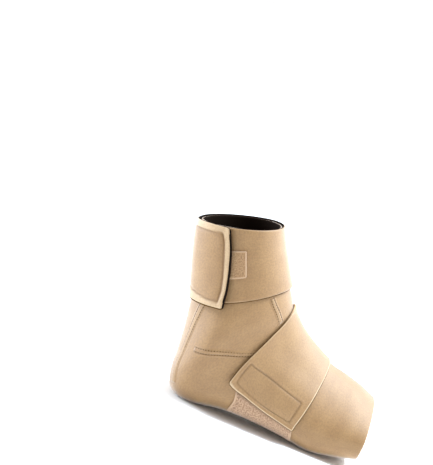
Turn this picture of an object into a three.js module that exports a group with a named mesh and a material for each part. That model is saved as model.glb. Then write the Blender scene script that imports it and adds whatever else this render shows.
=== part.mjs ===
// An ankle and foot compression wrap for a right foot, standing on its own sole
// Sizes are in millimetres: X runs to the toes, Y to the inner side of the foot, Z up from the floor
// The origin is on the floor, under the heel
import * as THREE from "three";

// Cloth and clearances
const WALL = 2.4; // laminated cloth of the boot, the band and the strap
const TAPE = 1.0; // sewn-on fastening tapes
const GAP = 0.3; // air between two pieces that lie on each other
const SEAM_WIDTH = 3.6;
const SEAM_HEIGHT = 0.8;

// A spot on the boot is named by two angles in degrees
// fan picks a section plane, which turns about a cross axis ahead of the ankle, from the toes up to the collar
// around goes round that section: 0 is the instep, 90 the outer side, 180 the sole, heel and back, -90 the inner side
const PIVOT_X = 150;
const PIVOT_Z = 212;
const COLLAR_FAN = 74.2;
const TOE_FAN = -1.3;
const TOE_SKEW = 0.6; // how much further back the toe opening lies on the outer side
const TOE_RAKE = 0.4; // how much further forward it lies on the instep

// The boot's outer face, a row for each section
// top and base: distance from the pivot axis to the instep side and to the sole, heel or back
// half: half the width; waist: where between top and base it is widest, as a share
// ridge: how far the instep's crest lies to the inner side; corner: how square the sole side is
// arch: how far the inner side of the sole is drawn up
const SECTION_COLUMNS = ["fan", "top", "base", "half", "waist", "ridge", "corner", "arch"];
const SECTIONS = [
  [-2, 154.5, 203.0, 44.5, 0.66, 10, 3.2, 0],
  [5, 147.8, 210.5, 44.0, 0.68, 10, 3.4, 1],
  [11, 145.8, 217.5, 42.5, 0.7, 10, 3.4, 4],
  [18, 145.8, 220.5, 40.0, 0.72, 9, 3.2, 8],
  [25, 144.6, 229.5, 38.0, 0.72, 7, 3.0, 9],
  [31, 143.8, 244.0, 36.5, 0.68, 5, 2.8, 5],
  [36, 143.0, 264.5, 36.0, 0.62, 3, 2.6, 1],
  [39, 142.0, 270.5, 36.0, 0.58, 2, 2.5, 0],
  [42, 141.0, 264.5, 36.0, 0.54, 1, 2.4, 0],
  [46, 138.4, 248.5, 36.0, 0.507, 0, 2.2, 0],
  [50, 136.7, 236.0, 35.6, 0.495, 0, 2.0, 0],
  [54, 136.0, 227.0, 34.8, 0.486, 0, 1.9, 0],
  [57.5, 135.7, 220.0, 33.7, 0.475, 0, 1.9, 0],
  [63, 135.8, 215.0, 32.5, 0.468, 0, 1.9, 0],
  [74.5, 139.2, 210.2, 31.5, 0.46, 0, 1.9, 0],
];
const INSTEP_ROUNDNESS = 2.1;

// Two low bulges, one on each side of the ankle
const BULGE_COLUMNS = ["fan", "around", "height", "fanSpread", "aroundSpread"];
const BULGES = [
  [47, 112, 4.0, 6, 26],
  [50, -78, 4.5, 6, 26],
];

// The ankle band, a row for each station: its lower and upper edge
// It runs from the free edge of its end tab, round the back and the inner side, to its sewn start under the tab
const BAND_COLUMNS = ["around", "low", "high"];
const BAND = [
  [-258, 52.1, 74.2],
  [-235, 53.8, 74.5],
  [-205, 55.4, 74.6],
  [-180, 56.2, 74.5],
  [-90, 54.2, 74.4],
  [0, 51.5, 74.7],
  [45, 52.1, 74.5],
  [108, 54.0, 74.3],
  [130, 54.7, 74.3],
];
const BAND_START = 130;
const TAB_END = [-253.5, -254.3, -256, -256.7, -253.2]; // around of the tab's free edge, at even steps across it
const ON_BAND = GAP + WALL + GAP; // lift of what lies on the band's first layer
const TAB_LIFT = ON_BAND + TAPE + GAP; // the tab lies over the band's start and the hook tape
const TAB_RISE_FROM = -168;
const TAB_RISE_OVER = 40;

// The instep strap, a row for each station from its sewn root on the inner side to its end on the outer side
const STRAP_COLUMNS = ["around", "front", "rear"];
const STRAP = [
  [-122, 12.0, 30.0],
  [-90, 14.5, 34.5],
  [-45, 17.3, 40.7],
  [0, 18.8, 44.6],
  [45, 18.1, 41.4],
  [75, 17.5, 38.2],
  [105, 17.2, 34.0],
];
const STRAP_ROOT = -122;
const STRAP_END_FRONT = 106.5; // the end is cut askew
const STRAP_END_REAR = 91.2;
const STRAP_END_LIFT = GAP + TAPE + GAP; // the end lies over the hook tape and the side tape
const STRAP_RISE_FROM = 45;
const STRAP_RISE_OVER = 20;

// The fastening tapes, a row for each station, in the strap's columns
const ANKLE_PATCH = [
  [87, 60.2, 68.0],
  [113, 60.2, 68.0],
];
const ANKLE_HOOK = [
  [116, 55.2, 72.6],
  [146, 56.8, 72.6],
];
const INSTEP_HOOK = [
  [72, 20.0, 36.2],
  [86, 19.2, 35.2],
];
const SIDE_TAPE = [
  [92, 18.6, 33.4],
  [110, 17.2, 31.7],
  [134, 15.6, 30.6],
];

// The raised seams, a row for each station along the seam
const SEAM_COLUMNS = ["fan", "around"];
const BACK_SEAM = [
  [55.2, 137.5],
  [53.1, 142.6],
  [50.6, 147.6],
  [47.5, 150.6],
  [44.0, 152.4],
  [40.5, 151],
];
const SIDE_SEAM = [
  [45.8, 133],
  [44.6, 117.5],
  [43.0, 99],
  [41.1, 83],
  [37.6, 62],
];
const FRONT_SEAM = [
  [51.8, 52.2],
  [49.0, 48.8],
  [46.0, 44.2],
  [42.7, 39.6],
];

// Mesh steps
const BOOT_STEPS = { fan: 34, around: 40 };
const BAND_STEPS = { fan: 6, around: 44 };
const STRAP_STEPS = { fan: 10, around: 26 };
const SEAM_STEPS = { across: 1, along: 16 };
const NUDGE = 0.4; // degrees, for slopes of the surface

const COLOURS = { cloth: 0xbc9970, tape: 0xd7af91, hook: 0x2a2622, seam: 0xc6a47c };
const ROUGHNESS = 0.95;

const { lerp, degToRad } = THREE.MathUtils;

function smooth(value) {
  const t = Math.min(Math.max(value, 0), 1);
  return t * t * (3 - 2 * t);
}

// Turns a table's rows into one list for each named column
function columnsOf(names, rows) {
  return Object.fromEntries(names.map((name, k) => [name, rows.map((row) => row[k])]));
}

// Even steps from 0 to 1, one for each entry of a list
function evenSteps(list) {
  return list.map((entry, i) => i / (list.length - 1));
}

// Names the values of a single row
function rowOf(names, row) {
  return Object.fromEntries(names.map((name, k) => [name, row[k]]));
}

// A smooth curve through the points (x, y): a cubic on each stretch
// Its slope at a point is that of the line between the point's neighbours
function curve(x, y, at) {
  const last = x.length - 1;
  const slope = (i) => {
    const before = Math.max(i - 1, 0);
    const after = Math.min(i + 1, last);
    return (y[after] - y[before]) / (x[after] - x[before]);
  };
  let i = 0;
  while (i < last - 1 && at > x[i + 1]) {
    i += 1;
  }
  const width = x[i + 1] - x[i];
  const t = (at - x[i]) / width;
  const rise = y[i + 1] - y[i];
  const a = slope(i) * width - rise;
  const b = rise - slope(i + 1) * width;
  return y[i] + rise * t + t * (1 - t) * (a * (1 - t) + b * t);
}

const sections = columnsOf(SECTION_COLUMNS, SECTIONS);
const bulges = BULGES.map((row) => rowOf(BULGE_COLUMNS, row));

// A point of the boot's outer face before it is flattened on the floor
function skin(fan, around) {
  const read = (name) => curve(sections.fan, sections[name], fan);
  const top = read("top");
  const base = read("base");
  const middle = lerp(top, base, read("waist"));
  const c = Math.cos(degToRad(around));
  const s = Math.sin(degToRad(around));
  const power = c >= 0 ? INSTEP_ROUNDNESS : read("corner");
  const reach = (Math.abs(c) ** power + Math.abs(s) ** power) ** (-1 / power);
  const depth = c >= 0 ? middle - top : base - middle;
  const drawnUp = read("arch") * smooth(-c) * smooth(-1.4 * s);
  const out = middle - depth * c * reach - drawnUp;
  let side = read("ridge") * smooth(c) - read("half") * s * reach;
  for (const bulge of bulges) {
    const far = ((fan - bulge.fan) / bulge.fanSpread) ** 2 + ((around - bulge.around) / bulge.aroundSpread) ** 2;
    side -= Math.sign(bulge.around) * bulge.height * Math.exp(-far);
  }
  const angle = degToRad(fan);
  return new THREE.Vector3(PIVOT_X - out * Math.sin(angle), side, PIVOT_Z - out * Math.cos(angle));
}

// Angles beyond the half turn name the same spot as those within it
function wrapped(around) {
  return THREE.MathUtils.euclideanModulo(around + 180, 360) - 180;
}

// The direction that points out of the boot's outer face
function outward(fan, around) {
  const along = skin(fan + NUDGE, around).sub(skin(fan - NUDGE, around));
  const across = skin(fan, wrapped(around + NUDGE)).sub(skin(fan, wrapped(around - NUDGE)));
  return along.cross(across).normalize();
}

// A point at a height above the boot's outer face, or inside its wall where the height is negative
// Cloth that would reach below the floor is flattened on it
function onSkin(fan, around, height) {
  const spot = wrapped(around);
  const point = skin(fan, spot).addScaledVector(outward(fan, spot), height);
  point.z = Math.max(point.z, -height, 0);
  return point;
}

// A slab of cloth: an inner and an outer grid of points, joined along the edges
// place(u, v, face) gives a point, with u and v from 0 to 1 and face 0 inside or 1 outside
// A round slab closes on itself along v
function slab(uSteps, vSteps, round, place) {
  const columns = round ? vSteps : vSteps + 1;
  const positions = [];
  const indices = [];
  for (const face of [0, 1]) {
    for (let i = 0; i <= uSteps; i += 1) {
      for (let j = 0; j < columns; j += 1) {
        positions.push(...place(i / uSteps, j / vSteps, face).toArray());
      }
    }
  }
  const corner = (face, i, j) => (face * (uSteps + 1) + i) * columns + (j % columns);
  const quad = (a, b, c, d) => indices.push(a, b, c, a, c, d);
  for (let i = 0; i < uSteps; i += 1) {
    for (let j = 0; j < vSteps; j += 1) {
      quad(corner(1, i, j), corner(1, i + 1, j), corner(1, i + 1, j + 1), corner(1, i, j + 1));
      quad(corner(0, i, j), corner(0, i, j + 1), corner(0, i + 1, j + 1), corner(0, i + 1, j));
    }
  }
  for (let j = 0; j < vSteps; j += 1) {
    quad(corner(0, 0, j), corner(1, 0, j), corner(1, 0, j + 1), corner(0, 0, j + 1));
    quad(corner(0, uSteps, j), corner(0, uSteps, j + 1), corner(1, uSteps, j + 1), corner(1, uSteps, j));
  }
  for (let i = 0; i < uSteps && !round; i += 1) {
    quad(corner(0, i, 0), corner(0, i + 1, 0), corner(1, i + 1, 0), corner(1, i, 0));
    quad(corner(0, i, vSteps), corner(1, i, vSteps), corner(1, i + 1, vSteps), corner(0, i + 1, vSteps));
  }
  const geometry = new THREE.BufferGeometry();
  geometry.setAttribute("position", new THREE.Float32BufferAttribute(positions, 3));
  geometry.setIndex(indices);
  geometry.computeVertexNormals();
  return geometry;
}

// The hollow boot: heel, sole, ankle tube and forefoot sleeve in one wall
function bootShell() {
  return slab(BOOT_STEPS.fan, BOOT_STEPS.around, true, (u, v, face) => {
    const around = 360 * v;
    const turn = degToRad(around);
    const toe = TOE_FAN + TOE_SKEW * Math.sin(turn) - TOE_RAKE * Math.cos(turn);
    return onSkin(lerp(toe, COLLAR_FAN, u), around, (face - 1) * WALL);
  });
}

// The band round the ankle, which rises over its own start to make the end tab
function ankleBand() {
  const band = columnsOf(BAND_COLUMNS, BAND);
  const across = evenSteps(TAB_END);
  return slab(BAND_STEPS.fan, BAND_STEPS.around, false, (u, v, face) => {
    const around = lerp(curve(across, TAB_END, u), BAND_START, v);
    const low = curve(band.around, band.low, around);
    const high = curve(band.around, band.high, around);
    const lift = lerp(GAP, TAB_LIFT, smooth((TAB_RISE_FROM - around) / TAB_RISE_OVER));
    return onSkin(lerp(low, high, u), around, lift + face * WALL);
  });
}

// The strap over the instep, whose end rises over the tapes on the outer side
function instepStrap() {
  const strap = columnsOf(STRAP_COLUMNS, STRAP);
  return slab(STRAP_STEPS.fan, STRAP_STEPS.around, false, (u, v, face) => {
    const around = lerp(STRAP_ROOT, lerp(STRAP_END_FRONT, STRAP_END_REAR, u), v);
    const front = curve(strap.around, strap.front, around);
    const rear = curve(strap.around, strap.rear, around);
    const lift = lerp(GAP, STRAP_END_LIFT, smooth((around - STRAP_RISE_FROM) / STRAP_RISE_OVER));
    return onSkin(lerp(front, rear, u), around, lift + face * WALL);
  });
}

// A flat fastening tape, sewn on
function tape(rows, lift, uSteps, vSteps) {
  const edges = columnsOf(STRAP_COLUMNS, rows);
  return slab(uSteps, vSteps, false, (u, v, face) => {
    const around = lerp(edges.around[0], edges.around.at(-1), v);
    const front = curve(edges.around, edges.front, around);
    const rear = curve(edges.around, edges.rear, around);
    return onSkin(lerp(front, rear, u), around, lift + face * TAPE);
  });
}

// A raised seam: a narrow ribbon that follows its stations over the boot
function seam(rows) {
  const stations = columnsOf(SEAM_COLUMNS, rows);
  const at = evenSteps(rows);
  const fanAt = (v) => curve(at, stations.fan, v);
  const aroundAt = (v) => curve(at, stations.around, v);
  const ahead = 0.01;
  return slab(SEAM_STEPS.across, SEAM_STEPS.along, false, (u, v, face) => {
    const from = onSkin(fanAt(v - ahead), aroundAt(v - ahead), 0);
    const forward = onSkin(fanAt(v + ahead), aroundAt(v + ahead), 0).sub(from).normalize();
    const sideways = forward.cross(outward(fanAt(v), aroundAt(v)));
    const centre = onSkin(fanAt(v), aroundAt(v), GAP + face * SEAM_HEIGHT);
    return centre.addScaledVector(sideways, (u - 0.5) * SEAM_WIDTH);
  });
}

function piece(name, geometry, color) {
  const material = new THREE.MeshStandardMaterial({ color, roughness: ROUGHNESS, metalness: 0 });
  const mesh = new THREE.Mesh(geometry, material);
  mesh.name = name;
  return mesh;
}

const wrap = new THREE.Group();
wrap.add(
  piece("boot_shell", bootShell(), COLOURS.cloth),
  piece("ankle_band", ankleBand(), COLOURS.cloth),
  piece("ankle_hook", tape(ANKLE_HOOK, ON_BAND, 6, 5), COLOURS.hook),
  piece("ankle_patch", tape(ANKLE_PATCH, ON_BAND, 3, 4), COLOURS.tape),
  piece("instep_strap", instepStrap(), COLOURS.cloth),
  piece("instep_hook", tape(INSTEP_HOOK, GAP, 7, 3), COLOURS.hook),
  piece("side_tape", tape(SIDE_TAPE, GAP, 6, 6), COLOURS.tape),
  piece("back_seam", seam(BACK_SEAM), COLOURS.seam),
  piece("side_seam", seam(SIDE_SEAM), COLOURS.seam),
  piece("front_seam", seam(FRONT_SEAM), COLOURS.seam),
);

export default wrap;
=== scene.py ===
# %% [markdown]
# # A cloth wrap for the ankle and foot
# The part is a soft boot for a right foot, open at the toes and at the collar. A wide band goes round
# the ankle and a strap crosses the instep. Both end in a tab that grips with hook tape on the outer side.
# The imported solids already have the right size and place, so this lesson only dresses them. It works
# out each cloth layer as a surface over the boot, adds the sewing, mixes the finishes, and sets up a
# small studio.

import bpy
import numpy as np
from mathutils import Matrix


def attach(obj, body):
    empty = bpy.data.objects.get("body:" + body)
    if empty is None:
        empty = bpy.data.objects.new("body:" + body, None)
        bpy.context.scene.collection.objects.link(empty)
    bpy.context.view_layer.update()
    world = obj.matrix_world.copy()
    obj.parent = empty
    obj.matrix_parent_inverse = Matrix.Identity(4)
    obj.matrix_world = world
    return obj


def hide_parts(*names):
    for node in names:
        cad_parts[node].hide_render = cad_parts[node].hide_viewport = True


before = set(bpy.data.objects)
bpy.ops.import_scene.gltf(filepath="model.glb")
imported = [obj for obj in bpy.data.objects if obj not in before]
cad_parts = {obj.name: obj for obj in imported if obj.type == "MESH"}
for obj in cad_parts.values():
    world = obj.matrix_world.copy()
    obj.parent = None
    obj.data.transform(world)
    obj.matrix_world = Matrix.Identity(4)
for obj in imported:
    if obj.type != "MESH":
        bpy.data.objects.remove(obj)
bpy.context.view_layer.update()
MM = 0.001  # metres
print("solids:", ", ".join(sorted(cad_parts)))

# %% [markdown]
# ## Two angles name every spot
# The boot bends at the ankle, so flat slices in one direction cut it badly somewhere. Slices that fan
# out from an axis ahead of the ankle cut the toe end, the heel and the collar all squarely. The angle
# called fan picks a slice, from the toes up to the collar. The angle called around goes round that
# slice: 0 on the instep, 90 on the outer side, 180 on the sole, the heel and the back, and -90 on the
# inner side.
# A modeller could also sculpt the boot. A table of slices is chosen because the same two angles can then
# place every other layer, which lies on the boot without any fitting.

# %% The table of slices
PIVOT_X, PIVOT_Z = 150.0, 212.0  # millimetres
INSTEP_ROUNDNESS, ARCH_STEEP = 2.1, 1.4
# fan is in degrees, and the sizes are in millimetres
# top and base: distance from the axis to the instep side and to the sole side; half: half the width
# waist: where it is widest, as a share; ridge: the crest's shift inwards
# corner: how square the sole side is; arch: how far the inner side of the sole is drawn up
SLICE_COLUMNS = ("fan", "top", "base", "half", "waist", "ridge", "corner", "arch")
SLICES = np.array([
    [-2, 154.5, 203.0, 44.5, 0.66, 10, 3.2, 0],
    [5, 147.8, 210.5, 44.0, 0.68, 10, 3.4, 1],
    [11, 145.8, 217.5, 42.5, 0.70, 10, 3.4, 4],
    [18, 145.8, 220.5, 40.0, 0.72, 9, 3.2, 8],
    [25, 144.6, 229.5, 38.0, 0.72, 7, 3.0, 9],
    [31, 143.8, 244.0, 36.5, 0.68, 5, 2.8, 5],
    [36, 143.0, 264.5, 36.0, 0.62, 3, 2.6, 1],
    [39, 142.0, 270.5, 36.0, 0.58, 2, 2.5, 0],
    [42, 141.0, 264.5, 36.0, 0.54, 1, 2.4, 0],
    [46, 138.4, 248.5, 36.0, 0.507, 0, 2.2, 0],
    [50, 136.7, 236.0, 35.6, 0.495, 0, 2.0, 0],
    [54, 136.0, 227.0, 34.8, 0.486, 0, 1.9, 0],
    [57.5, 135.7, 220.0, 33.7, 0.475, 0, 1.9, 0],
    [63, 135.8, 215.0, 32.5, 0.468, 0, 1.9, 0],
    [74.5, 139.2, 210.2, 31.5, 0.46, 0, 1.9, 0],
])
slices = dict(zip(SLICE_COLUMNS, SLICES.T))

# Two low bulges, one on each side of the ankle: fan, around, height, and the spread of both angles
BULGES = [(47, 112, 4.0, 6, 26), (50, -78, 4.5, 6, 26)]
print("slices:", len(SLICES), "from fan", SLICES[0, 0], "to", SLICES[-1, 0])


# %% Smooth steps, bells and lines
def smooth(t):
    """An S-shaped step: t squared times (3 - 2 t), with t kept between 0 and 1."""
    t = np.clip(t, 0, 1)
    return t * t * (3 - 2 * t)


def bell(x, half):
    """A bell curve: the exponential of minus the square of x over half."""
    return np.exp(-((x / half) ** 2))


def curve(x, y, at):
    """A smooth line through the points (x, y): the chord plus a cubic that vanishes at both ends of a
    stretch. The slope at a point is that of the line between the point's two neighbours."""
    slope = np.empty_like(y)
    slope[1:-1] = (y[2:] - y[:-2]) / (x[2:] - x[:-2])
    slope[[0, -1]] = (y[1] - y[0]) / (x[1] - x[0]), (y[-1] - y[-2]) / (x[-1] - x[-2])
    i = np.clip(np.searchsorted(x, at) - 1, 0, len(x) - 2)
    width, rise = x[i + 1] - x[i], y[i + 1] - y[i]
    t = (at - x[i]) / width
    bend = (slope[i] * width - rise) * (1 - t) + (rise - slope[i + 1] * width) * t
    return y[i] + rise * t + t * (1 - t) * bend


print("half the width at fan 60 in mm:", round(float(curve(slices["fan"], slices["half"], 60.0)), 1))

# %% The boot's outer face as a formula
NUDGE = 0.4  # degrees, for the slopes of the surface


def wrapped(around):
    """The same spot, named by an angle between -180 and 180."""
    return (around + 180) % 360 - 180


def skin(fan, around):
    """A point of the boot's outer face in metres, before the floor flattens it.
    Each slice is an oval of two halves with a power for its squareness. Its centre lies at the waist,
    its reach is the power mean of cosine and sine, and the slice is then turned about the pivot by the
    fan angle."""
    row = {name: curve(slices["fan"], column, fan) for name, column in slices.items() if name != "fan"}
    c, s = np.cos(np.radians(around)), np.sin(np.radians(around))
    power = np.where(c >= 0, INSTEP_ROUNDNESS, row["corner"])
    reach = (np.abs(c) ** power + np.abs(s) ** power) ** (-1 / power)
    middle = row["top"] + (row["base"] - row["top"]) * row["waist"]
    depth = np.where(c >= 0, middle - row["top"], row["base"] - middle)
    out = middle - depth * c * reach - row["arch"] * smooth(-c) * smooth(-ARCH_STEEP * s)
    side = row["ridge"] * smooth(c) - row["half"] * s * reach
    for fan0, around0, height, fan_spread, around_spread in BULGES:
        far = ((fan - fan0) / fan_spread) ** 2 + ((wrapped(around) - around0) / around_spread) ** 2
        side = side - np.sign(around0) * height * np.exp(-far)
    angle = np.radians(fan)
    return MM * np.stack([PIVOT_X - out * np.sin(angle), side, PIVOT_Z - out * np.cos(angle)], axis=-1)


def steps_at(fan, around, nudge):
    """The steps on the surface from a nudge below a spot to a nudge above it, along fan and around."""
    along = skin(fan + nudge, around) - skin(fan - nudge, around)
    across = skin(fan, around + nudge) - skin(fan, around - nudge)
    return along, across


def unit(vectors):
    """Vectors scaled to a length of one."""
    return vectors / np.linalg.norm(vectors, axis=-1, keepdims=True)


def outward(fan, around):
    """The unit normal: the cross product of the two small steps along the surface."""
    return unit(np.cross(*steps_at(fan, around, NUDGE)))


def lay(fan, around, height):
    """The point at a height in metres along the outer face's normal, kept above the floor.
    A negative height is inside the wall, and stays as far above the floor as it is deep."""
    fan, around, height = np.broadcast_arrays(fan, around, height)
    point = skin(fan, around) + outward(fan, around) * height[..., None]
    point[..., 2] = np.maximum(point[..., 2], np.maximum(-height, 0))
    return point


heel = lay(np.array(39.0), np.array(180.0), np.array(0.0))
print("a point of the heel's back in mm:", (heel / MM).round(1))

# %% [markdown]
# ## From arrays to meshes
# Every layer is a grid of points that numpy works out in one go. A sheet of cloth has an outer and an
# inner face, so it takes two grids. Solidify could thicken a single grid, but here the two grids share
# their border, and the thickness falls to nothing there along a quarter circle. That gives a round edge
# with no extra faces, and each edge can show its own part of the laminate: the napped face, the brown
# middle or the dark back.
# Grid lines crowd together at edges and stitch lines, where the shape is fine, and spread out elsewhere.

# %% Grids and meshes
SAMPLES = 6001


def graded(length, marks, fine, coarse, reach):
    """Grid lines from 0 to length that crowd round the marks.
    The lines per metre are 1/coarse everywhere plus a bell of 1/fine round each mark. Equal steps of
    their running sum give the lines."""
    x = np.linspace(0, length, SAMPLES)
    density = 1 / coarse + bell(x[:, None] - np.asarray(marks), reach).max(axis=1) / fine
    total = np.concatenate([[0], np.cumsum((density[1:] + density[:-1]) / 2 * np.diff(x))])
    return np.interp(np.linspace(0, total[-1], int(np.ceil(total[-1])) + 1), total, x)


def quads_of(index):
    """The corners of each cell of an index grid, in the order that turns their faces outwards."""
    corners = index[:-1, :-1], index[1:, :-1], index[1:, 1:], index[:-1, 1:]
    return np.stack(corners, axis=-1).reshape(-1, 4)


def new_piece(name, points, faces, materials, cut=None, tone=None, marks=None):
    """A mesh object at the origin from its points and faces.
    cut gives a flat pattern position in metres for each corner, tone a material number for each face,
    and marks a named value for each point."""
    mesh = bpy.data.meshes.new(name)
    mesh.from_pydata(points, [], faces)
    for material in materials:
        mesh.materials.append(material)
    if tone is not None:
        mesh.polygons.foreach_set("material_index", tone.astype(np.int32))
    if cut is not None:
        mesh.uv_layers.new(name="cut").data.foreach_set("uv", cut.astype(np.float32).ravel())
    for key, values in (marks or {}).items():
        mesh.attributes.new(key, "FLOAT", "POINT").data.foreach_set("value", values.astype(np.float32))
    mesh.shade_smooth()
    piece = bpy.data.objects.new(name, mesh)
    bpy.context.scene.collection.objects.link(piece)
    return piece


def at_corners(grid):
    """The values of a grid at the four corners of each of its cells."""
    rows, columns = grid.shape[:2]
    cells = quads_of(np.arange(rows * columns).reshape(rows, columns))
    return grid.reshape(rows * columns, *grid.shape[2:])[cells]


def new_sheet(name, spots, heights, cut, marks, materials, tone=None, closed=False):
    """A piece from an outer and an inner grid that share their border points.
    Both lie over the same spots of fan and around, each at its own height. A closed sheet's last column is
    its first one again. Points that no face uses are left out. Both faces have the same cut and marks."""
    outer, inner = (lay(*spots, height) for height in heights)
    rows, columns = outer.shape[:2]
    top = np.arange(rows * columns).reshape(rows, columns)
    under = top + top.size
    under[[0, -1]] = top[[0, -1]]
    if closed:
        top[:, -1], under[:, -1] = top[:, 0], under[:, 0]
    else:
        under[:, [0, -1]] = top[:, [0, -1]]
    flat = at_corners(np.stack(np.broadcast_arrays(*cut), axis=-1))
    flat = np.concatenate([flat, flat[:, ::-1]])
    quads = np.concatenate([quads_of(top), quads_of(under)[:, ::-1]])
    used, corners = np.unique(quads, return_inverse=True)
    points = np.concatenate([outer.reshape(-1, 3), inner.reshape(-1, 3)])[used]
    kept = {key: np.tile(values.ravel(), 2)[used] for key, values in marks.items()}
    return new_piece(name, points, corners.reshape(-1, 4).tolist(), materials, flat, tone, kept)


sample_lines = graded(60 * MM, [0, 60 * MM], fine=0.25 * MM, coarse=2.5 * MM, reach=1.5 * MM)
print("graded lines on a 60 mm strip:", len(sample_lines))

# %% [markdown]
# ## The finishes
# The wrap is cut from a laminate: a beige face with a short brushed nap, and a dark knitted back. The
# nap catches light at grazing angles, which is what sheen does in the Principled shader, so the rims
# look paler than the middle. A flat colour would look like plastic. Here the colour is broken up by two
# sizes of noise, and a fine bump gives the grain. Two marks that the meshes carry paint light and shade:
# painted shade darkens the stitched grooves, and a painted highlight lightens the margins, cut-edge
# lines, seam crests and the toe rim.
# The patterns read the flat cutting pattern, a UV map in metres, so the grain follows the cloth.


# %% Helpers for shader nodes
def shader(name, colour, roughness, **sockets):
    """A new material with a Principled shader, and its nodes. Constant values go on its sockets."""
    material = bpy.data.materials.new(name)
    material.use_nodes = True
    inputs = material.node_tree.nodes["Principled BSDF"].inputs
    inputs["Base Color"].default_value = (*colour, 1)
    inputs["Roughness"].default_value = roughness
    for socket, value in sockets.items():
        inputs[socket.replace("_", " ")].default_value = value
    return material, material.node_tree


def node(tree, kind, links=(), **settings):
    """A node with settings, whose inputs take values, colours or other nodes' outputs."""
    made = tree.nodes.new(kind)
    for key, value in settings.items():
        setattr(made, key, value)
    for key, value in dict(links).items():
        socket = made.inputs[key]
        if isinstance(value, bpy.types.NodeSocket):
            tree.links.new(value, socket)
        else:
            socket.default_value = (*value, 1) if socket.type == "RGBA" else value
    return made


def flat_pattern(tree):
    """The flat cutting pattern in metres."""
    return node(tree, "ShaderNodeUVMap", uv_map="cut").outputs["UV"]


def in_space(tree):
    """The position on the object in metres, for pieces without a flat pattern."""
    return node(tree, "ShaderNodeTexCoord").outputs["Object"]


def mark(tree, name):
    """A value that the mesh carries at each point."""
    return node(tree, "ShaderNodeAttribute", attribute_name=name).outputs["Fac"]


def grain(tree, size, detail=2.0, rough=0.6, where=flat_pattern):
    """Noise whose lumps are about size metres across, from 0 to 1."""
    links = {"Vector": where(tree), "Scale": 1 / size, "Detail": detail, "Roughness": rough}
    return node(tree, "ShaderNodeTexNoise", links).outputs["Fac"]


def ramp(tree, value, low, high, dark, light):
    """Blends two colours as the value goes from low to high."""
    made = node(tree, "ShaderNodeValToRGB", {"Fac": value})
    first, last = made.color_ramp.elements
    first.position, last.position = low, high
    first.color, last.color = (*dark, 1), (*light, 1)
    return made.outputs["Color"]


def mixed(tree, kind, share, a, b):
    """Mixes colour b into colour a by a share, in one of the blend kinds.
    The node has sockets for other kinds of value too, so its colour sockets are picked by number."""
    return node(tree, "ShaderNodeMix", {0: share, 6: a, 7: b}, data_type="RGBA", blend_type=kind).outputs[2]


def finished(material, colour, *bumps):
    """Links the colour and the bump layers of (height, depth in metres), finest last, to the shader."""
    tree = material.node_tree
    inputs, links = tree.nodes["Principled BSDF"].inputs, {"Strength": 1.0}
    tree.links.new(colour, inputs["Base Color"])
    for height, depth in bumps:
        links.update({"Height": height, "Distance": depth})
        links["Normal"] = node(tree, "ShaderNodeBump", links).outputs["Normal"]
    if bumps:
        tree.links.new(links["Normal"], inputs["Normal"])
    print("finish:", material.name, "of", len(tree.nodes), "nodes")
    return material


def shade(colour, share):
    """A colour that is darker or lighter by a share."""
    return tuple(share * c for c in colour)


# %% Beige napped cloth
CLOTH = (0.254, 0.127, 0.031)
CLOTH_PALE = (0.289, 0.151, 0.041)
# painted highlight: the pale colour laid on margins, cut-edge lines, seam crests and the toe rim
CLOTH_HIGHLIGHT = (0.53, 0.37, 0.205)
# painted shade: the colour laid in the stitched grooves and along the seam lines
CLOTH_GROOVE_SHADE = (0.15, 0.062, 0.002)
GRAIN_DEEP, GRAIN_HIGH = (0.78, 0.76, 0.72), (1.0, 1.0, 1.0)
SHEEN_TINT = (1.0, 0.97, 0.94, 1)
MOTTLE, LUMPS, FUZZ = 14 * MM, 2.2 * MM, 1.5 * MM


def napped_cloth():
    """Mottle blends two beiges, and fuzz darkens them in specks.
    A painted highlight makes margins, cut-edge lines and seam crests paler, and painted shade makes grooves
    darker."""
    sheen = {"Sheen_Weight": 0.7, "Sheen_Roughness": 0.42, "Sheen_Tint": SHEEN_TINT}
    material, tree = shader("napped_cloth", CLOTH, roughness=0.66, IOR=1.7, **sheen)
    fuzz = grain(tree, FUZZ, detail=3, rough=0.75)
    specks = ramp(tree, fuzz, 0.36, 0.60, GRAIN_DEEP, GRAIN_HIGH)
    colour = ramp(tree, grain(tree, MOTTLE, detail=3), 0.36, 0.64, CLOTH, CLOTH_PALE)
    # painted highlight: the margin mark lightens the tab's rim, the cut-edge lines, the seam crests and the
    # toe rim
    colour = mixed(tree, "MIX", mark(tree, "margin"), colour, CLOTH_HIGHLIGHT)
    colour = mixed(tree, "MULTIPLY", 1.0, colour, specks)
    # painted shade: the groove mark darkens the stitched grooves and the seam lines
    colour = mixed(tree, "MIX", mark(tree, "groove"), colour, CLOTH_GROOVE_SHADE)
    return finished(material, colour, (grain(tree, LUMPS), 0.10 * MM), (fuzz, 0.12 * MM))


cloth = napped_cloth()

# %% Dark knitted back and brown middle
LINING = (0.012, 0.006, 0.003)
# the second colour is a painted highlight that turns cut edges pale near the instep
FOAM, FOAM_EDGE_LIGHT = (0.10, 0.052, 0.018), (0.42, 0.28, 0.16)
WALE_PITCH, KNIT_FUZZ, PORES = 1.1 * MM, 0.5 * MM, 0.6 * MM
WAVE_RATE = 20  # a wave texture's phase for each unit of its scaled position


def ribs(tree, pitch, direction):
    """Soft parallel ribs, one for each pitch along the X or Y of the pattern, from 0 to 1."""
    scale = 2 * np.pi / (WAVE_RATE * pitch)
    links = {"Vector": flat_pattern(tree), "Scale": scale, "Distortion": 1.5, "Detail": 1.0}
    made = node(tree, "ShaderNodeTexWave", links, wave_type="BANDS", bands_direction=direction)
    return made.outputs["Fac"]


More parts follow.
